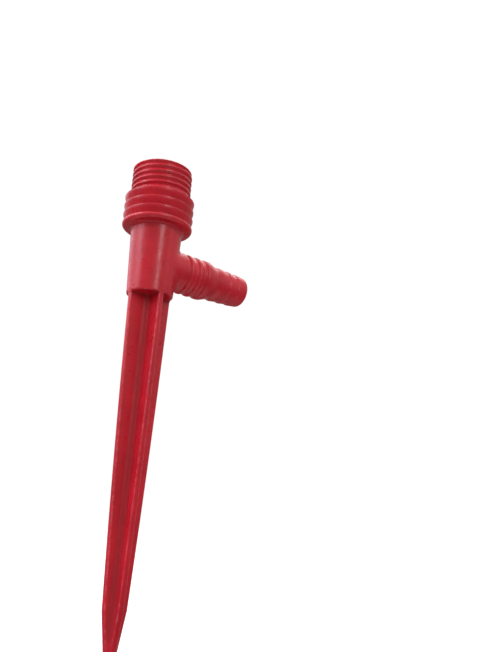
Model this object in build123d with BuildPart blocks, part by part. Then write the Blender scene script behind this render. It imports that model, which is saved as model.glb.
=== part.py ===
from build123d import *
import math
import os

# Sprinkler riser stake: one red moulding with a threaded outlet at the top, a hose barb
# at the side and a ribbed stake below. Each zone of the moulding is a solid of its own.
# Millimetres. The origin is where the vertical water channel meets the inlet channel.
# +Z runs up the channel to the outlet, +X runs out along the hose barb.

# Water channels
outlet_bore_radius = 6.25
inlet_bore_radius = 4.0
channel_floor_z = -6.0

# Outlet thread, with a lead-in cone at the rim
rim_z = 35.5
thread_major_radius = 10.48
thread_minor_radius = 9.55
thread_pitch = 2.05
thread_crest_width = 0.55
ridge_base_radius = 9.4
ridge_base_width = 1.83
thread_start_z = 23.36
lead_in_radius = 9.75
lead_in_slope = 1.1
lead_in_depth = 2.6

# Grip collar, between its flat top and its flat underside
collar_radius = 12.1
collar_root_radius = 11.3
land_count = 4
land_pitch = 3.2
land_height = 0.8
collar_top_z = 23.95
collar_bottom_z = 12.95

# Riser body
body_bottom_z = -11.5
body_bottom_radius = 7.85
neck_radius = 8.9
boss_radius = 7.1
boss_end_x = 10.2
boss_fillet = 0.9
rim_fillet = 0.4

# Hose barb, large stage
large_crest_radius = 7.2
large_groove_radius = 6.75
large_first_crest_x = 12.3
large_crest_pitch = 3.6
large_crest_count = 3
large_land_width = 1.3
large_wall_width = 0.45
step_start_x = 20.6
step_end_x = 24.2
step_end_radius = 5.95

# Hose barb, small stage
small_crest_xs = (25.9, 29.9, 33.8)
small_crest_radii = (6.3, 6.15, 5.95)
small_barb_drop = 0.3
small_rise_length = 0.5
barb_end_x = 38.3
barb_end_radius = 5.45
barb_end_fillet = 1.3

# Ground stake
stake_top_radius = 7.75
stake_middle_radius = 6.2
stake_shoulder_radius = 4.0
stake_shoulder_z = -111.0
stake_tip_z = -133.0
stake_tip_radius = 0.4
rib_thickness = 2.0
rib_root_fillet = 1.0
rib_edge_fillet = 0.5
stake_middle_z = (body_bottom_z + stake_shoulder_z) / 2
rib_length = body_bottom_z - stake_shoulder_z
rib_blank_reach = stake_top_radius + rib_thickness
rib_angles = {
    "stake_rib_inlet_side": 0,
    "stake_rib_back": 90,
    "stake_rib_far_side": 180,
    "stake_rib_front": 270,
}


def distance_from_axis(edge):
    """Distance of an edge's centre from the vertical channel's axis."""
    centre = edge.center()
    return math.hypot(centre.X, centre.Y)


def save(part, node):
    """Label a finished piece and write it as a STEP file of the same name."""
    part.label = node
    export_step(part, "parts/" + node + ".step")


os.makedirs("parts", exist_ok=True)

# ---- Outlet thread: a sleeve with one right-hand ridge wound around it ----
# Sleeve and ridge are made a pitch too long at each end, then cut to length.
thread_overrun = thread_pitch
cut_depth = 4 * thread_pitch

with BuildPart() as outlet_thread:
    with BuildSketch(Plane.XY.offset(thread_start_z - thread_overrun)):
        Circle(thread_minor_radius)
        Circle(outlet_bore_radius, mode=Mode.SUBTRACT)
    extrude(amount=rim_z - thread_start_z + 2 * thread_overrun)
    with BuildLine() as thread_line:
        Helix(
            thread_pitch,
            rim_z - thread_start_z + thread_overrun,
            ridge_base_radius,
            center=(0, 0, thread_start_z),
        )
    ridge_plane = Plane(origin=thread_line.line @ 0, x_dir=(1, 0, 0), z_dir=thread_line.line % 0)
    with BuildSketch(ridge_plane):
        with BuildLine():
            Polyline(
                (0, -ridge_base_width / 2),
                (thread_major_radius - ridge_base_radius, -thread_crest_width / 2),
                (thread_major_radius - ridge_base_radius, thread_crest_width / 2),
                (0, ridge_base_width / 2),
                close=True,
            )
        make_face()
    sweep(path=thread_line.wire(), is_frenet=True)
    with BuildSketch(Plane.XY.offset(rim_z)):
        Circle(collar_radius)
    extrude(amount=cut_depth, mode=Mode.SUBTRACT)
    with BuildSketch(Plane.XY.offset(collar_top_z)):
        Circle(collar_radius)
    extrude(amount=-cut_depth, mode=Mode.SUBTRACT)
    with BuildSketch(Plane.XZ):
        with BuildLine():
            Polyline(
                (lead_in_radius, rim_z),
                (lead_in_radius + lead_in_depth / lead_in_slope, rim_z),
                (lead_in_radius + lead_in_depth / lead_in_slope, rim_z - lead_in_depth),
                close=True,
            )
        make_face()
    revolve(axis=Axis.Z, mode=Mode.SUBTRACT)
save(outlet_thread.part, "outlet_thread")

# ---- Grip collar: four lands that narrow downwards, each with a flat top ----
collar_outline = [
    (outlet_bore_radius, collar_bottom_z),
    (collar_radius, collar_bottom_z),
]
for land in reversed(range(land_count)):
    land_top_z = collar_top_z - land * land_pitch
    collar_outline.append((collar_radius, land_top_z))
    if land > 0:
        collar_outline.append((collar_root_radius, land_top_z))
        collar_outline.append((collar_radius, land_top_z + land_pitch - land_height))
collar_outline.append((outlet_bore_radius, collar_top_z))

with BuildPart() as grip_collar:
    with BuildSketch(Plane.XZ):
        with BuildLine():
            Polyline(*collar_outline, close=True)
        make_face()
    revolve(axis=Axis.Z)
save(grip_collar.part, "grip_collar")

# ---- Riser body: a tapered tee with a closed floor above the stake ----
with BuildPart() as riser_body:
    with BuildSketch(Plane.XZ):
        with BuildLine():
            Polyline(
                (0, body_bottom_z),
                (body_bottom_radius, body_bottom_z),
                (neck_radius, collar_bottom_z),
                (0, collar_bottom_z),
                close=True,
            )
        make_face()
    revolve(axis=Axis.Z)
    fillet(riser_body.edges().filter_by(GeomType.CIRCLE).sort_by(Axis.Z)[0], rim_fillet)
    with BuildSketch(Plane.YZ):
        Circle(boss_radius)
    extrude(amount=boss_end_x)
    curved_edges = riser_body.edges().filter_by(GeomType.CIRCLE, reverse=True)
    junction = curved_edges.filter_by_position(Axis.X, boss_fillet, boss_end_x - boss_fillet)
    fillet(junction, boss_fillet)
    with BuildSketch(Plane.XY.offset(collar_bottom_z)):
        Circle(outlet_bore_radius)
    extrude(amount=channel_floor_z - collar_bottom_z, mode=Mode.SUBTRACT)
    with BuildSketch(Plane.YZ):
        Circle(inlet_bore_radius)
    extrude(amount=boss_end_x, mode=Mode.SUBTRACT)
save(riser_body.part, "riser_body")

# ---- Hose barb, large stage: three rounded grip rings, then the step down ----
large_outline = [(boss_end_x, inlet_bore_radius), (boss_end_x, large_groove_radius)]
for ring in range(large_crest_count):
    crest_x = large_first_crest_x + ring * large_crest_pitch
    half_land = large_land_width / 2
    large_outline.append((crest_x - half_land - large_wall_width, large_groove_radius))
    large_outline.append((crest_x - half_land, large_crest_radius))
    if ring < large_crest_count - 1:
        large_outline.append((crest_x + half_land, large_crest_radius))
        large_outline.append((crest_x + half_land + large_wall_width, large_groove_radius))
large_outline.append((step_start_x, large_crest_radius))
large_outline.append((step_end_x, step_end_radius))
large_outline.append((step_end_x, inlet_bore_radius))

with BuildPart() as barb_large_stage:
    with BuildSketch(Plane.XZ):
        with BuildLine():
            Polyline(*large_outline, close=True)
        make_face()
    revolve(axis=Axis.X)
save(barb_large_stage.part, "barb_large_stage")

# ---- Hose barb, small stage: three barbs that slope towards a rounded end ----
small_outline = [(step_end_x, inlet_bore_radius), (step_end_x, step_end_radius)]
for crest_x, crest_radius in zip(small_crest_xs, small_crest_radii):
    if crest_x > small_crest_xs[0]:
        small_outline.append((crest_x - small_rise_length, crest_radius - small_barb_drop))
    small_outline.append((crest_x, crest_radius))
small_outline.append((barb_end_x, barb_end_radius))
small_outline.append((barb_end_x, inlet_bore_radius))

with BuildPart() as barb_small_stage:
    with BuildSketch(Plane.XZ):
        with BuildLine():
            Polyline(*small_outline, close=True)
        make_face()
    revolve(axis=Axis.X)
    nose_edge = barb_small_stage.edges().group_by(Axis.X)[-1].sort_by(SortBy.LENGTH)[-1]
    fillet(nose_edge, barb_end_fillet)
save(barb_small_stage.part, "barb_small_stage")

# ---- Ground stake: four ribs that meet at the axis along the two diagonals ----
diagonal_reach = rib_thickness / 2 + rib_root_fillet - rib_root_fillet / math.sqrt(2)
root_reach = rib_thickness / 2 + rib_root_fillet
root_half_turn = math.radians(45 / 2)
arc_offset = rib_root_fillet * math.sin(root_half_turn)
arc_rise = rib_root_fillet * (1 - math.cos(root_half_turn))

for rib_name, rib_angle in rib_angles.items():
    turn = math.radians(rib_angle)
    outward = (math.cos(turn), math.sin(turn), 0)
    across = (math.sin(turn), -math.cos(turn), 0)
    with BuildPart() as stake_rib:
        with BuildSketch(Plane(origin=(0, 0, stake_shoulder_z), x_dir=outward, z_dir=(0, 0, 1))):
            with BuildLine():
                Line((0, 0), (diagonal_reach, diagonal_reach))
                ThreePointArc(
                    (diagonal_reach, diagonal_reach),
                    (root_reach - arc_offset, rib_thickness / 2 + arc_rise),
                    (root_reach, rib_thickness / 2),
                )
                Polyline(
                    (root_reach, rib_thickness / 2),
                    (rib_blank_reach, rib_thickness / 2),
                    (rib_blank_reach, -rib_thickness / 2),
                    (root_reach, -rib_thickness / 2),
                )
                ThreePointArc(
                    (root_reach, -rib_thickness / 2),
                    (root_reach - arc_offset, -rib_thickness / 2 - arc_rise),
                    (diagonal_reach, -diagonal_reach),
                )
                Line((diagonal_reach, -diagonal_reach), (0, 0))
            make_face()
        extrude(amount=rib_length)
        with BuildSketch(Plane(origin=(0, 0, 0), x_dir=outward, z_dir=across)):
            with BuildLine():
                ThreePointArc(
                    (stake_top_radius, body_bottom_z),
                    (stake_middle_radius, stake_middle_z),
                    (stake_shoulder_radius, stake_shoulder_z),
                )
                Polyline(
                    (stake_shoulder_radius, stake_shoulder_z),
                    (0, stake_shoulder_z),
                    (0, body_bottom_z),
                    (stake_top_radius, body_bottom_z),
                )
            make_face()
        extrude(amount=collar_radius, both=True, mode=Mode.INTERSECT)
        long_edges = [edge for edge in stake_rib.edges() if edge.length > rib_length / 2]
        outer_edges = sorted(long_edges, key=distance_from_axis)[-2:]
        fillet(outer_edges, rib_edge_fillet)
    save(stake_rib.part, rib_name)

# ---- Stake point: the same cross section, tapered to a blunt tip ----
with BuildPart() as stake_point:
    with BuildSketch(Plane.XY.offset(stake_tip_z)):
        Rectangle(2 * stake_shoulder_radius, rib_thickness)
        Rectangle(rib_thickness, 2 * stake_shoulder_radius)
        inner_corners = [
            corner
            for corner in vertices()
            if math.hypot(corner.X, corner.Y) < rib_thickness
        ]
        fillet(inner_corners, rib_root_fillet)
    extrude(amount=stake_shoulder_z - stake_tip_z)
    with BuildSketch(Plane.XZ):
        with BuildLine():
            Polyline(
                (0, stake_tip_z),
                (stake_tip_radius, stake_tip_z),
                (stake_shoulder_radius, stake_shoulder_z),
                (0, stake_shoulder_z),
                close=True,
            )
        make_face()
    revolve(axis=Axis.Z, mode=Mode.INTERSECT)
save(stake_point.part, "stake_point")
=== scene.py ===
"""Looks of a sprinkler riser stake: one red moulding with a threaded outlet, a grip collar,
a side hose barb and a ribbed ground stake. Shapes are built in millimetres."""

import math

import bmesh
import bpy
import numpy as np
from mathutils import Matrix, Vector


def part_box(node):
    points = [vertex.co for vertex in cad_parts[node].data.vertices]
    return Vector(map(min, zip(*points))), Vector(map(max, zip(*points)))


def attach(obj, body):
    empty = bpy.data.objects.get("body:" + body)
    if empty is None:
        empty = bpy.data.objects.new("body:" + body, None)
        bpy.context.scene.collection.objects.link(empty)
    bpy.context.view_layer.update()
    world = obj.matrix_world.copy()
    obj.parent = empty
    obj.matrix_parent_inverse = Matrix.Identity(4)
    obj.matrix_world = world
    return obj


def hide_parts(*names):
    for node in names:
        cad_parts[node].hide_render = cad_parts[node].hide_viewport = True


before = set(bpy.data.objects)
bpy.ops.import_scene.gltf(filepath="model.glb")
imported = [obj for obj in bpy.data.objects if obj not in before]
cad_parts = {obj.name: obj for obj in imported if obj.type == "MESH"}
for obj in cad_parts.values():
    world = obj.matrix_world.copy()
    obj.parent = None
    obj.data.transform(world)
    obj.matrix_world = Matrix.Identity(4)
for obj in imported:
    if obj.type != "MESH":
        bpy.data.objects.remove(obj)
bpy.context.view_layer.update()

MM = 0.001
SAME_POINT = 1e-6
CUT_REACH = 1e-5


def corner_mm(node, which):
    """A corner of a CAD node's box in millimetres: which is 0 for the lowest, 1 the highest."""
    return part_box(node)[which] / MM


# ---- Places read from the boxes of the CAD nodes ----
RIM_Z = corner_mm("outlet_thread", 1).z
THREAD_CREST = corner_mm("outlet_thread", 1).y
COLLAR_TOP_Z = corner_mm("grip_collar", 1).z
COLLAR_RADIUS = corner_mm("grip_collar", 1).x
COLLAR_BOTTOM_Z = corner_mm("grip_collar", 0).z
NECK_RADIUS = corner_mm("riser_body", 1).y
BODY_BOTTOM_Z = corner_mm("riser_body", 0).z
BOSS_END_X = corner_mm("riser_body", 1).x
LARGE_CREST = corner_mm("barb_large_stage", 1).z
STEP_END_X = corner_mm("barb_large_stage", 1).x
BARB_END_X = corner_mm("barb_small_stage", 1).x
RIB_TOP_RADIUS = corner_mm("stake_rib_inlet_side", 1).x
POINT_TOP_Z = corner_mm("stake_point", 1).z
POINT_TOP_RADIUS = corner_mm("stake_point", 1).x
TIP_Z = corner_mm("stake_point", 0).z

# ---- Sizes of the moulding ----
BORE_RADIUS = 6.25
INLET_RADIUS = 4.0
BORE_FLOOR_Z = -6.0
THREAD_ROOT = 9.8
THREAD_PITCH = 2.05
THREAD_START_Z = 23.36
RIDGE_HALF_WIDTH = 0.9
RIDGE_SLOPE = 1.25
THREAD_SOFTNESS = 0.45
RIM_ROUNDING = 0.45
LEAD_IN_RADIUS = 9.75
LEAD_IN_SLOPE = 1.1
LAND_COUNT = 4
LAND_PITCH = 3.2
LAND_HEIGHT = 0.8
LAND_ROOT = 11.1
NECK_DROP = 0.65
NECK_CUT_DROP = 1.3
BODY_BOTTOM_RADIUS = 7.85
BOSS_RADIUS = 7.1
BOSS_FILLET = 0.9
BODY_EDGE_FILLET = 0.45
RIB_MIDDLE_RADIUS = 6.2
RIB_TIP_RADIUS = 0.4
TIP_ROUNDING = RIB_TIP_RADIUS * 0.8
RIB_TOP_CLOSING = 2
RIB_ROOT_HALF = 1.0
RIB_EDGE_HALF = 0.9
RIB_ROOT_FILLET = 1.8
RIB_EDGE_FILLET = 0.32
CEILING_FILLET = 0.6

# ---- Marks of wear on convex edges and of painted shade in hollows: the curvature (1/mm) where each begins, and the span up to full strength ----
WEAR_FROM, WEAR_SPAN = 0.6, 2.4
HOLLOW_FROM, HOLLOW_SPAN = 0.15, 0.45


# ---- Mesh tools ----
def rounded(corners, arc_step=math.radians(9), longest=0.5):
    """Dense points along a polyline. Each corner is (a, b, fillet radius)."""
    points = [Vector(corners[0][:2])]
    for before, corner, after in zip(corners, corners[1:], corners[2:]):
        here = Vector(corner[:2])
        back = (Vector(before[:2]) - here).normalized()
        ahead = (Vector(after[:2]) - here).normalized()
        half = back.angle(ahead) / 2
        reach = corner[2] / math.tan(half)
        centre = here + (back + ahead).normalized() * corner[2] / math.sin(half)
        start = here + back * reach - centre
        end = here + ahead * reach - centre
        steps = max(1, math.ceil((math.pi - 2 * half) / arc_step)) if corner[2] else 0
        turn = start.angle_signed(end) if corner[2] else 0
        for i in range(steps + 1):
            points.append(centre + start @ Matrix.Rotation(turn * i / max(steps, 1), 2))
    points.append(Vector(corners[-1][:2]))
    dense = [points[0]]
    for a, b in zip(points, points[1:]):
        if (b - a).length > SAME_POINT:
            pieces = math.ceil((b - a).length / longest)
            dense += [a.lerp(b, i / pieces) for i in range(1, pieces + 1)]
    return np.array(dense)


def new_piece(name, vertices, faces, nodes, curvature, sharp=50):
    """A finished piece from millimetre vertices. It rides on the root and stands for CAD nodes.
    Its attribute goes from 1 on sharp convex edges, which are worn, to -1 in tight hollows, which
    get painted shade."""
    mesh = bpy.data.meshes.new(name)
    mesh.from_pydata((np.asarray(vertices) * MM).tolist(), [], faces)
    wear_and_shade = mesh.attributes.new("wear_and_shade", "FLOAT", "POINT")
    bends = np.ravel(curvature)
    worn = np.clip((bends - WEAR_FROM) / WEAR_SPAN, 0, 1)
    # Hollows get negative values, which the material turns into painted shade and extra roughness.
    hollow = np.clip((-bends - HOLLOW_FROM) / HOLLOW_SPAN, 0, 1)
    wear_and_shade.data.foreach_set("value", (worn - hollow).astype(np.float32))
    form = bmesh.new()
    form.from_mesh(mesh)
    bmesh.ops.recalc_face_normals(form, faces=form.faces)
    form.to_mesh(mesh)
    form.free()
    mesh.shade_smooth()
    mesh.set_sharp_from_angle(angle=math.radians(sharp))
    piece = bpy.data.objects.new(name, mesh)
    bpy.context.scene.collection.objects.link(piece)
    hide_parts(*nodes)
    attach(piece, "root")
    return piece


def turned(name, loops, axis, nodes, cut_points):
    """A ring-shaped piece: a closed loop of (radius, height) points for each step around an axis.
    The edges at cut_points lie against the next piece and carry no wear. Hollows get no painted
    shade."""
    loops = np.asarray(loops)
    came = loops - np.roll(loops, 1, 1)
    goes = np.roll(loops, -1, 1) - loops
    before, after = np.linalg.norm(came, axis=2), np.linalg.norm(goes, axis=2)
    crossed = came[..., 0] * goes[..., 1] - came[..., 1] * goes[..., 0]
    turning = crossed / (before * after)
    curvature = np.arcsin(np.clip(turning, -1, 1)) * 2 / (before + after)
    curvature[:, cut_points] = 0
    curvature = np.maximum(curvature, 0)
    turns, count = loops.shape[:2]
    angle = np.arange(turns)[:, None] * 2 * math.pi / turns
    radius = loops[..., 0]
    height = loops[..., 1]
    if axis == "Z":
        points = np.stack([radius * np.cos(angle), radius * np.sin(angle), height], -1)
    else:
        points = np.stack([height, radius * np.cos(angle), radius * np.sin(angle)], -1)
    index = np.arange(turns * count).reshape(turns, count)
    ahead = np.roll(index, -1, 0)
    corners = [index, ahead, np.roll(ahead, -1, 1), np.roll(index, -1, 1)]
    faces = np.stack(corners, -1).reshape(-1, 4).tolist()
    return new_piece(name, points.reshape(-1, 3), faces, nodes, curvature)


def between(profile, low, high, clearance=0.01):
    """The stretch of a (radius, height) profile between two heights, cut exactly there."""
    heights = profile[:, 1]
    inner = profile[(heights > low + clearance) & (heights < high - clearance)]
    ends = [[np.interp(h, heights, profile[:, 0]), h] for h in (low, high)]
    return np.vstack([ends[:1], inner, ends[1:]])


def soft_min(a, b, width):
    """The lower of two values, blended where they are closer than width."""
    share = np.clip(0.5 + 0.5 * (b - a) / width, 0, 1)
    return b * (1 - share) + a * share - width * share * (1 - share)


def round_join(a, b, radius):
    """Union of two distance fields with a fillet where they meet."""
    corner = np.hypot(np.maximum(radius - a, 0), np.maximum(radius - b, 0))
    return np.maximum(radius, np.minimum(a, b)) - corner


def round_cut(a, b, radius):
    """Intersection of two distance fields with a rounded edge."""
    return -round_join(-a, -b, radius)


def surface_net(distance, xs, ys, zs):
    """Vertices and quads on the zero surface of a distance field, sampled on a grid."""
    grid = np.stack(np.meshgrid(xs, ys, zs, indexing="ij"), -1)
    field = distance(*np.moveaxis(grid, -1, 0))
    cells = tuple(n - 1 for n in field.shape)
    total = np.zeros(cells + (3,))
    count = np.zeros(cells)
    crossings = []
    for axis in range(3):
        low = [slice(None)] * 3
        high = [slice(None)] * 3
        low[axis] = slice(None, -1)
        high[axis] = slice(1, None)
        low, high = tuple(low), tuple(high)
        crossed = (field[low] < 0) != (field[high] < 0)
        crossings.append(crossed)
        share = np.where(crossed, field[low] / np.where(crossed, field[low] - field[high], 1), 0)
        points = (grid[low] + share[..., None] * (grid[high] - grid[low])) * crossed[..., None]
        others = [other for other in range(3) if other != axis]
        for shift in ((0, 0), (0, 1), (1, 0), (1, 1)):
            part = [slice(None)] * 3
            for other, offset in zip(others, shift):
                part[other] = slice(offset, offset + cells[other])
            total += points[tuple(part)]
            count += crossed[tuple(part)]
    used = count > 0
    number = np.full(cells, -1)
    number[used] = np.arange(used.sum())
    vertices = total[used] / count[used][:, None]
    quads = []
    for axis, crossed in enumerate(crossings):
        one, two = [other for other in range(3) if other != axis]
        where = np.argwhere(crossed)
        where = where[(where[:, one] > 0) & (where[:, one] < cells[one])]
        where = where[(where[:, two] > 0) & (where[:, two] < cells[two])]
        ring = []
        for step_one, step_two in ((-1, -1), (0, -1), (0, 0), (-1, 0)):
            cell = where.copy()
            cell[:, one] += step_one
            cell[:, two] += step_two
            ring.append(number[tuple(cell.T)])
        quads.append(np.stack(ring, -1))
    return settle(distance, vertices), np.vstack(quads).tolist()


def settle(distance, points, rounds=5, probe=0.01, longest_step=0.15, tiny=1e-9):
    """Moves points onto the zero surface of a distance field."""
    for _ in range(rounds):
        value = distance(*points.T)
        slope = np.empty_like(points)
        for axis in range(3):
            offset = np.eye(3)[axis] * probe
            rise = distance(*(points + offset).T) - distance(*(points - offset).T)
            slope[:, axis] = rise / (2 * probe)
        length = np.linalg.norm(slope, axis=1) + tiny
        step = np.clip(value / length, -longest_step, longest_step)
        points = points - step[:, None] * slope / length[:, None]
    return points


def bend(distance, points, probe=0.25):
    """Sum of the surface curvatures of a distance field: above zero on convex edges."""
    total = -6 * distance(*points.T)
    for axis in range(3):
        offset = np.eye(3)[axis] * probe
        total += distance(*(points + offset).T) + distance(*(points - offset).T)
    return total / probe ** 2


def cut_piece(name, vertices, faces, nodes, cuts):
    """A piece of the body and stake's form. Each cut is (point, normal), and the side behind the
    normal is kept. The stake's hollows get painted shade; the body's do not."""
    form = bmesh.new()
    corners = [form.verts.new(v) for v in vertices]
    for face in faces:
        form.faces.new([corners[i] for i in face])
    for point, normal in cuts:
        geometry = form.verts[:] + form.edges[:] + form.faces[:]
        result = bmesh.ops.bisect_plane(
            form, geom=geometry, plane_co=point, plane_no=normal, clear_outer=True, dist=CUT_REACH
        )
        edges = [item for item in result["geom_cut"] if isinstance(item, bmesh.types.BMEdge)]
        bmesh.ops.triangle_fill(form, edges=edges, use_beauty=True)
    form.verts.index_update()
    kept = np.array([v.co[:] for v in form.verts])
    polygons = [[v.index for v in face.verts] for face in form.faces]
    form.free()
    curvature = bend(stake_and_body, kept)
    # The body above the stake gets no painted shade in its hollows.
    above = kept[:, 2] > BODY_BOTTOM_Z
    curvature[above] = np.maximum(curvature[above], 0)
    return new_piece(name, kept, polygons, nodes, curvature)


# ---- Threaded outlet ----
def thread_loops(turns=288, rows=180):
    """Loops of the threaded sleeve: a right-hand ridge that runs down to the collar's flat top."""
    fade_slope = 1.5
    flank_sink = 0.15
    bore_rounding = 0.35
    bore_rounding_middle = 0.1
    height = np.linspace(COLLAR_TOP_Z, RIM_Z, rows)
    rim_drop = np.clip(RIM_ROUNDING - (RIM_Z - height), 0, RIM_ROUNDING)
    lead_in = LEAD_IN_RADIUS + (RIM_Z - height) / LEAD_IN_SLOPE
    rim_edge = LEAD_IN_RADIUS - RIM_ROUNDING + np.sqrt(RIM_ROUNDING ** 2 - rim_drop ** 2)
    limit = np.where(rim_drop > 0, np.minimum(lead_in, rim_edge), lead_in)
    fade = THREAD_ROOT + (height - COLLAR_TOP_Z) * fade_slope
    loops = []
    for turn in range(turns):
        along = (height - THREAD_START_Z) / THREAD_PITCH - turn / turns
        off_crest = np.abs(along - np.round(along)) * THREAD_PITCH
        ridge = THREAD_ROOT - flank_sink + (RIDGE_HALF_WIDTH - off_crest) * RIDGE_SLOPE
        ridge = soft_min(ridge, THREAD_CREST + THREAD_SOFTNESS / 4, THREAD_SOFTNESS)
        ridge = soft_min(ridge, np.maximum(fade, THREAD_ROOT), THREAD_SOFTNESS)
        outer = -soft_min(-ridge, -THREAD_ROOT, THREAD_SOFTNESS)
        outer = np.minimum(np.minimum(outer, limit), THREAD_CREST)
        outer[0] = THREAD_ROOT
        wall = np.stack([outer, height], -1)
        inner = [
            (BORE_RADIUS + bore_rounding, RIM_Z),
            (BORE_RADIUS + bore_rounding_middle, RIM_Z - bore_rounding_middle),
            (BORE_RADIUS, RIM_Z - bore_rounding),
            (BORE_RADIUS, COLLAR_TOP_Z),
        ]
        loops.append(np.vstack([wall, inner]))
    return loops


threaded_outlet = turned("threaded_outlet", thread_loops(), "Z", ["outlet_thread"], [0, -1])


# ---- Grip collar ----
NECK_Z = COLLAR_BOTTOM_Z - NECK_DROP
NECK_CUT_Z = NECK_Z - NECK_CUT_DROP


def body_radius(z):
    """Radius of the tapered tee body at a height."""
    taper = (NECK_RADIUS - BODY_BOTTOM_RADIUS) / (COLLAR_BOTTOM_Z - BODY_BOTTOM_Z)
    return BODY_BOTTOM_RADIUS + taper * (z - BODY_BOTTOM_Z)


def head_profile():
    """Outer profile from below the collar's underside to the foot of the thread."""
    below = 2.5
    neck_fillet = 1.1
    underside_drop = 0.25
    underside_rounding = 1.0
    top_rounding = 0.55
    face_rounding = 2.5
    groove_rounding = 0.25
    top_slope = 0.01
    corners = [
        (body_radius(NECK_Z - below), NECK_Z - below, 0),
        (body_radius(NECK_Z), NECK_Z, neck_fillet),
        (COLLAR_RADIUS, COLLAR_BOTTOM_Z - underside_drop, underside_rounding),
    ]
    for land in reversed(range(LAND_COUNT)):
        top_z = COLLAR_TOP_Z - land * LAND_PITCH
        corners.append((COLLAR_RADIUS, top_z, top_rounding))
        if land > 0:
            corners.append((LAND_ROOT, top_z + top_slope, groove_rounding))
            corners.append((COLLAR_RADIUS, top_z + LAND_PITCH - LAND_HEIGHT, face_rounding))
    corners.append((THREAD_ROOT, COLLAR_TOP_Z + top_slope, 0))
    return rounded(corners, longest=0.4)


def lathe(name, profile, bore_radius, axis, nodes, turns=256):
    """A turned piece with a round bore, from its outer profile."""
    inner = [(bore_radius, profile[-1][1]), (bore_radius, profile[0][1])]
    loop = np.vstack([profile, inner])
    return turned(name, [loop] * turns, axis, nodes, [0, -3, -2, -1])


head = head_profile()
ribbed_collar = lathe(
    "ribbed_collar", between(head, NECK_CUT_Z, COLLAR_TOP_Z), BORE_RADIUS, "Z", ["grip_collar"]
)


# ---- Hose barb ----
def barb_profile():
    """Outer profile along the barb, from inside the boss to the rounded end."""
    inside = 1
    boss_edge, boss_foot, boss_rounding = 0.15, 0.5, 0.2
    groove = 6.55
    rings = 3
    first_crest_x = 12.3
    crest_pitch = 3.6
    half_land = 0.45
    wall = 0.7
    ring_rounding = 0.9
    groove_rounding = ring_rounding * 0.8
    step_start_x, step_start_rounding = 20.6, 1.6
    step_radius, step_rounding = 5.95, 1.2
    small_crests = ((25.9, 6.3), (29.9, 6.15), (33.8, 5.95))
    small_drop, small_groove_rounding = 0.3, 0.3
    small_rise, small_crest_rounding = 0.5, 0.4
    end_radius, end_rounding = 5.45, 1.15
    mouth_rounding = 0.15
    corners = [
        (BOSS_RADIUS, BOSS_END_X - inside, 0),
        (BOSS_RADIUS, BOSS_END_X + boss_edge, boss_rounding),
        (groove, BOSS_END_X + boss_foot, boss_rounding),
    ]
    for ring in range(rings):
        crest_x = first_crest_x + ring * crest_pitch
        corners.append((groove, crest_x - half_land - wall, groove_rounding))
        corners.append((LARGE_CREST, crest_x - half_land, ring_rounding))
        if ring < rings - 1:
            corners.append((LARGE_CREST, crest_x + half_land, ring_rounding))
            corners.append((groove, crest_x + half_land + wall, groove_rounding))
    corners.append((LARGE_CREST, step_start_x, step_start_rounding))
    corners.append((step_radius, STEP_END_X, step_rounding))
    for crest_x, crest_radius in small_crests:
        if crest_x > small_crests[0][0]:
            foot = crest_radius - small_drop, crest_x - small_rise, small_groove_rounding
            corners.append(foot)
        corners.append((crest_radius, crest_x, small_crest_rounding))
    corners.append((end_radius, BARB_END_X, end_rounding))
    corners.append((INLET_RADIUS + mouth_rounding, BARB_END_X, 0))
    return rounded(corners, longest=0.4)


barb = barb_profile()
large_stage = between(barb, BOSS_END_X, STEP_END_X)
barb_large_rings = lathe("barb_large_rings", large_stage, INLET_RADIUS, "X", ["barb_large_stage"])
END_POINTS = 3
side, end = barb[:-END_POINTS], barb[-END_POINTS:]
small_stage = np.vstack([between(side, STEP_END_X, side[-1][1]), end])
barb_small_rings = lathe("barb_small_rings", small_stage, INLET_RADIUS, "X", ["barb_small_stage"])


# ---- Tee body and stake ----
def rib_reach(z):
    """Radius of the ribs' outer edges at a height."""
    share = (BODY_BOTTOM_Z - z) / (BODY_BOTTOM_Z - POINT_TOP_Z)
    bow = 4 * RIB_MIDDLE_RADIUS - 2 * (RIB_TOP_RADIUS + POINT_TOP_RADIUS)
    taper = (POINT_TOP_RADIUS - RIB_TOP_RADIUS) * share
    blade = RIB_TOP_RADIUS + taper + bow * share * (1 - share)
    low_share = (POINT_TOP_Z - z) / (POINT_TOP_Z - TIP_Z)
    point = POINT_TOP_RADIUS + (RIB_TIP_RADIUS - POINT_TOP_RADIUS) * low_share
    return np.where(z > POINT_TOP_Z, blade, point)


def stake_and_body(x, y, z):
    """Below zero inside the tee body and the stake; near the surface it is the distance to it."""
    around = np.hypot(x, y)
    body = round_cut(around - body_radius(z), BODY_BOTTOM_Z - z, BODY_EDGE_FILLET)
    boss = np.maximum(np.hypot(y, z) - BOSS_RADIUS, -x)
    tee = round_join(body, boss, BOSS_FILLET)
    thinning = (RIB_ROOT_HALF - RIB_EDGE_HALF) / RIB_TOP_RADIUS
    along_x = np.abs(y) - RIB_ROOT_HALF + thinning * np.abs(x)
    along_y = np.abs(x) - RIB_ROOT_HALF + thinning * np.abs(y)
    cross = round_join(along_x, along_y, RIB_ROOT_FILLET)
    reach = around - rib_reach(z) + RIB_TOP_CLOSING * np.maximum(z - BODY_BOTTOM_Z, 0)
    stake = round_cut(cross, reach, RIB_EDGE_FILLET)
    stake = round_cut(stake, TIP_Z - z, TIP_ROUNDING)
    form = round_join(tee, stake, CEILING_FILLET)
    channel = np.maximum(around - BORE_RADIUS, BORE_FLOOR_Z - z)
    inlet = np.maximum(np.hypot(y, z) - INLET_RADIUS, -x)
    return np.maximum(form, -np.minimum(channel, inlet))


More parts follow.
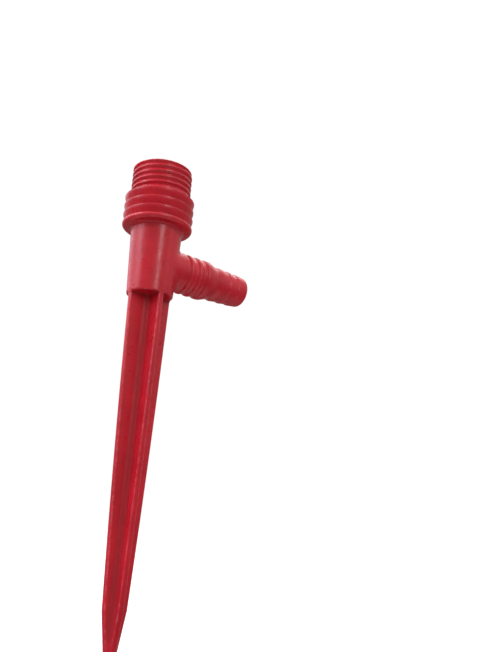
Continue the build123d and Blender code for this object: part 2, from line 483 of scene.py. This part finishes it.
CELL = 0.2
POINT_CELL_Z = 0.5
BLADE_CELL_Z = 1.0
OVERLAP = 0.6
ROOT_CUT_Z = BODY_BOTTOM_Z - 1.0
FINE_FROM_Z = BODY_BOTTOM_Z - 3
OFF_UNDERSIDE = 0.07
across = np.arange(-NECK_RADIUS - OVERLAP, NECK_RADIUS + OVERLAP, CELL)
lengthwise = np.arange(-NECK_RADIUS - OVERLAP, BOSS_END_X + OVERLAP, CELL)
heights = np.concatenate([
    np.arange(TIP_Z - OVERLAP, POINT_TOP_Z, POINT_CELL_Z),
    np.arange(POINT_TOP_Z, FINE_FROM_Z, BLADE_CELL_Z),
    np.arange(FINE_FROM_Z + OFF_UNDERSIDE, NECK_Z, CELL),
])
form_vertices, form_faces = surface_net(stake_and_body, lengthwise, across, heights)

DOWN = Vector((0, 0, -1))
UP = Vector((0, 0, 1))
body_cuts = [
    (Vector((0, 0, ROOT_CUT_Z)), DOWN),
    (Vector((0, 0, NECK_CUT_Z)), UP),
    (Vector((BOSS_END_X, 0, 0)), Vector((1, 0, 0))),
]
tee_body = cut_piece("tee_body", form_vertices, form_faces, ["riser_body"], body_cuts)

ribs = []
rib_nodes = ("stake_rib_inlet_side", "stake_rib_back", "stake_rib_far_side", "stake_rib_front")
for quarter, node in enumerate(rib_nodes):
    turn = Matrix.Rotation(quarter * math.pi / 2, 3, "Z")
    rib_cuts = [
        (Vector((0, 0, ROOT_CUT_Z)), UP),
        (Vector((0, 0, POINT_TOP_Z)), DOWN),
        (Vector((0, 0, 0)), turn @ Vector((-1, 1, 0)).normalized()),
        (Vector((0, 0, 0)), turn @ Vector((-1, -1, 0)).normalized()),
    ]
    name = node.replace("stake", "blade")
    ribs.append(cut_piece(name, form_vertices, form_faces, [node], rib_cuts))
point_cuts = [(Vector((0, 0, POINT_TOP_Z)), UP)]
spike_point = cut_piece("spike_point", form_vertices, form_faces, ["stake_point"], point_cuts)


# ---- Red plastic ----
def red_plastic():
    """Satin red moulding: cloudy colour, fine grain, slow waviness, paler worn edges, and painted
    shade with extra roughness in the stake's hollows."""
    cloud_scale, scuff_scale, gloss_scale, grain_scale, wave_scale = 90, 700, 260, 5200, 380
    material = bpy.data.materials.new("red_plastic")
    material.use_nodes = True
    nodes = material.node_tree.nodes
    links = material.node_tree.links
    shader = nodes["Principled BSDF"]
    where = nodes.new("ShaderNodeTexCoord").outputs["Object"]

    def noise(scale, detail):
        node = nodes.new("ShaderNodeTexNoise")
        node.inputs["Scale"].default_value = scale
        node.inputs["Detail"].default_value = detail
        links.new(where, node.inputs["Vector"])
        return node.outputs["Fac"]

    def spread(value, *limits):
        node = nodes.new("ShaderNodeMapRange")
        links.new(value, node.inputs["Value"])
        for name, number in zip(("From Min", "From Max", "To Min", "To Max"), limits):
            node.inputs[name].default_value = number
        return node.outputs["Result"]

    def mix(share, first, second):
        share_socket, first_socket, second_socket, colour_output = 0, 6, 7, 2
        node = nodes.new("ShaderNodeMix")
        node.data_type = "RGBA"
        links.new(share, node.inputs[share_socket])
        for socket, colour in ((first_socket, first), (second_socket, second)):
            if isinstance(colour, tuple):
                node.inputs[socket].default_value = colour
            else:
                links.new(colour, node.inputs[socket])
        return node.outputs[colour_output]

    def bump(height, strength, distance):
        node = nodes.new("ShaderNodeBump")
        node.inputs["Strength"].default_value = strength
        node.inputs["Distance"].default_value = distance
        links.new(height, node.inputs["Height"])
        return node

    def combine(operation, first, second):
        node = nodes.new("ShaderNodeMath")
        node.operation = operation
        links.new(first, node.inputs[0])
        links.new(second, node.inputs[1])
        return node

    deep = (0.50, 0.009, 0.021, 1)
    bright = (0.62, 0.014, 0.030, 1)
    worn = (0.78, 0.14, 0.18, 1)
    # The last colour is painted shade: a darker red laid into the stake's concave hollows.
    painted_hollow_shade = (0.40, 0.007, 0.014, 1)
    wear_and_shade = nodes.new("ShaderNodeAttribute")
    wear_and_shade.attribute_name = "wear_and_shade"
    hollow = spread(wear_and_shade.outputs["Fac"], 0, -1, 0, 0.8)
    scuffs = spread(noise(scuff_scale, 4), 0.42, 0.68, 0.08, 0.6)
    edge = combine("MULTIPLY", wear_and_shade.outputs["Fac"], scuffs)
    edge.use_clamp = True
    clouds = spread(noise(cloud_scale, 2), 0.3, 0.7, 0, 1)
    # Painted shade: the hollow mask mixes the base colour towards the darker red in the stake's
    # hollows.
    colour_with_hollow_shade = mix(hollow, mix(clouds, deep, bright), painted_hollow_shade)
    links.new(mix(edge.outputs["Value"], colour_with_hollow_shade, worn), shader.inputs["Base Color"])
    gloss = spread(noise(gloss_scale, 4), 0.3, 0.7, 0.24, 0.40)
    rough = combine("ADD", gloss, spread(hollow, 0, 1, 0, 0.3))
    links.new(rough.outputs["Value"], shader.inputs["Roughness"])
    shader.inputs["IOR"].default_value = 1.46
    shader.inputs["Specular IOR Level"].default_value = 0.42
    shader.inputs["Subsurface Weight"].default_value = 0.25
    shader.inputs["Subsurface Radius"].default_value = (1.0, 0.12, 0.10)
    shader.inputs["Subsurface Scale"].default_value = 0.002

    grain = bump(noise(grain_scale, 2), 0.25, 0.00004)
    waves = bump(noise(wave_scale, 3), 0.6, 0.00016)
    links.new(grain.outputs["Normal"], waves.inputs["Normal"])
    links.new(waves.outputs["Normal"], shader.inputs["Normal"])
    return material


plastic = red_plastic()
for piece in (threaded_outlet, ribbed_collar, barb_large_rings, barb_small_rings,
              tee_body, spike_point, *ribs):
    piece.data.materials.append(plastic)


# ---- Floor, light and camera ----
def floor_material():
    """A matt pale surface that also glows, so that it reads as white."""
    material = bpy.data.materials.new("pale_floor")
    material.use_nodes = True
    shader = material.node_tree.nodes["Principled BSDF"]
    shader.inputs["Base Color"].default_value = (0.3, 0.3, 0.3, 1)
    shader.inputs["Roughness"].default_value = 0.9
    shader.inputs["Specular IOR Level"].default_value = 0.1
    shader.inputs["Emission Color"].default_value = (1, 1, 1, 1)
    shader.inputs["Emission Strength"].default_value = 0.92
    return material


FLOOR_HALF = 3.0
FLOOR_SIDES = ((-1, -1), (1, -1), (1, 1), (-1, 1))
floor_mesh = bpy.data.meshes.new("floor")
floor_mesh.from_pydata(
    [(x * FLOOR_HALF, y * FLOOR_HALF, TIP_Z * MM) for x, y in FLOOR_SIDES], [], [(0, 1, 2, 3)]
)
floor = bpy.data.objects.new("floor", floor_mesh)
bpy.context.scene.collection.objects.link(floor)
floor.data.materials.append(floor_material())
floor.visible_diffuse = False
floor.visible_glossy = False

CAMERA_PLACE = Vector((-0.11514, -0.19729, -0.08461))
YAW = math.radians(39.0)
PITCH = math.radians(16.09)
ROLL = math.radians(3.93)
LENS = 38.65
NEAR = 0.01
camera = bpy.data.objects.new("camera", bpy.data.cameras.new("camera"))
bpy.context.scene.collection.objects.link(camera)
aim = Matrix.Rotation(-YAW, 4, "Z") @ Matrix.Rotation(math.pi / 2 + PITCH, 4, "X")
camera.matrix_world = Matrix.Translation(CAMERA_PLACE) @ aim @ Matrix.Rotation(ROLL, 4, "Z")
camera.data.lens = LENS
camera.data.clip_start = NEAR
bpy.context.scene.camera = camera

TARGET = Vector((0.005, 0, 0.005))


def softbox(name, side, rise, distance, width, height, watts, colour=(1, 1, 1)):
    """A soft panel that faces the head. side is in degrees around it from the camera, above zero
    to the camera's right, and rise is in degrees above the level."""
    toward_camera = CAMERA_PLACE - TARGET
    bearing = math.atan2(toward_camera.y, toward_camera.x) + math.radians(side)
    lift = math.radians(rise)
    level = math.cos(lift)
    direction = Vector((math.cos(bearing) * level, math.sin(bearing) * level, math.sin(lift)))
    light = bpy.data.lights.new(name, "AREA")
    light.shape = "RECTANGLE"
    light.size = width
    light.size_y = height
    light.energy = watts
    light.color = colour
    panel = bpy.data.objects.new(name, light)
    panel.matrix_world = Matrix.Translation(TARGET + direction * distance) @ (
        direction.to_track_quat("Z", "Y").to_matrix().to_4x4()
    )
    bpy.context.scene.collection.objects.link(panel)


softbox("window", -72, 36, 0.8, 0.35, 0.75, 4.2, (0.88, 0.88, 1))
softbox("wall", -115, 36, 0.8, 1.0, 0.75, 3.6, (0.84, 0.84, 1))
softbox("strip", 26, 24, 0.9, 0.16, 0.6, 2.3)
softbox("far_strip", 72, 25, 0.9, 0.2, 0.6, 0.3)
softbox("overhead", 170, 62, 0.9, 0.9, 0.9, 3.5)

# The grey of the sky at each height, from 0 straight down to 1 straight up.
SKY_GREYS = ((0, 1.0), (0.1, 0.75), (0.23, 0.12), (0.45, 0.32), (0.65, 0.52), (1, 0.95))
SEEN_SKY = 1.02
world = bpy.data.worlds.new("studio")
world.use_nodes = True
tree = world.node_tree
background = tree.nodes["Background"]
background.inputs["Color"].default_value = (1, 1, 1, 1)
split = tree.nodes.new("ShaderNodeSeparateXYZ")
tree.links.new(tree.nodes.new("ShaderNodeTexCoord").outputs["Generated"], split.inputs[0])
height = tree.nodes.new("ShaderNodeMapRange")
height.inputs["From Min"].default_value = -1
tree.links.new(split.outputs["Z"], height.inputs["Value"])
sky = tree.nodes.new("ShaderNodeValToRGB")
tree.links.new(height.outputs["Result"], sky.inputs["Fac"])
stops = sky.color_ramp.elements
for place, _ in SKY_GREYS[1:-1]:
    stops.new(place)
for stop, (place, grey) in zip(stops, SKY_GREYS):
    stop.position = place
    stop.color = (grey, grey, grey, 1)
level = tree.nodes.new("ShaderNodeMapRange")
level.inputs["To Max"].default_value = SEEN_SKY
seen = tree.nodes.new("ShaderNodeLightPath").outputs["Is Camera Ray"]
tree.links.new(seen, level.inputs["Value"])
tree.links.new(sky.outputs["Color"], level.inputs["To Min"])
tree.links.new(level.outputs["Result"], background.inputs["Strength"])
bpy.context.scene.world = world
bpy.context.scene.view_settings.view_transform = "Standard"
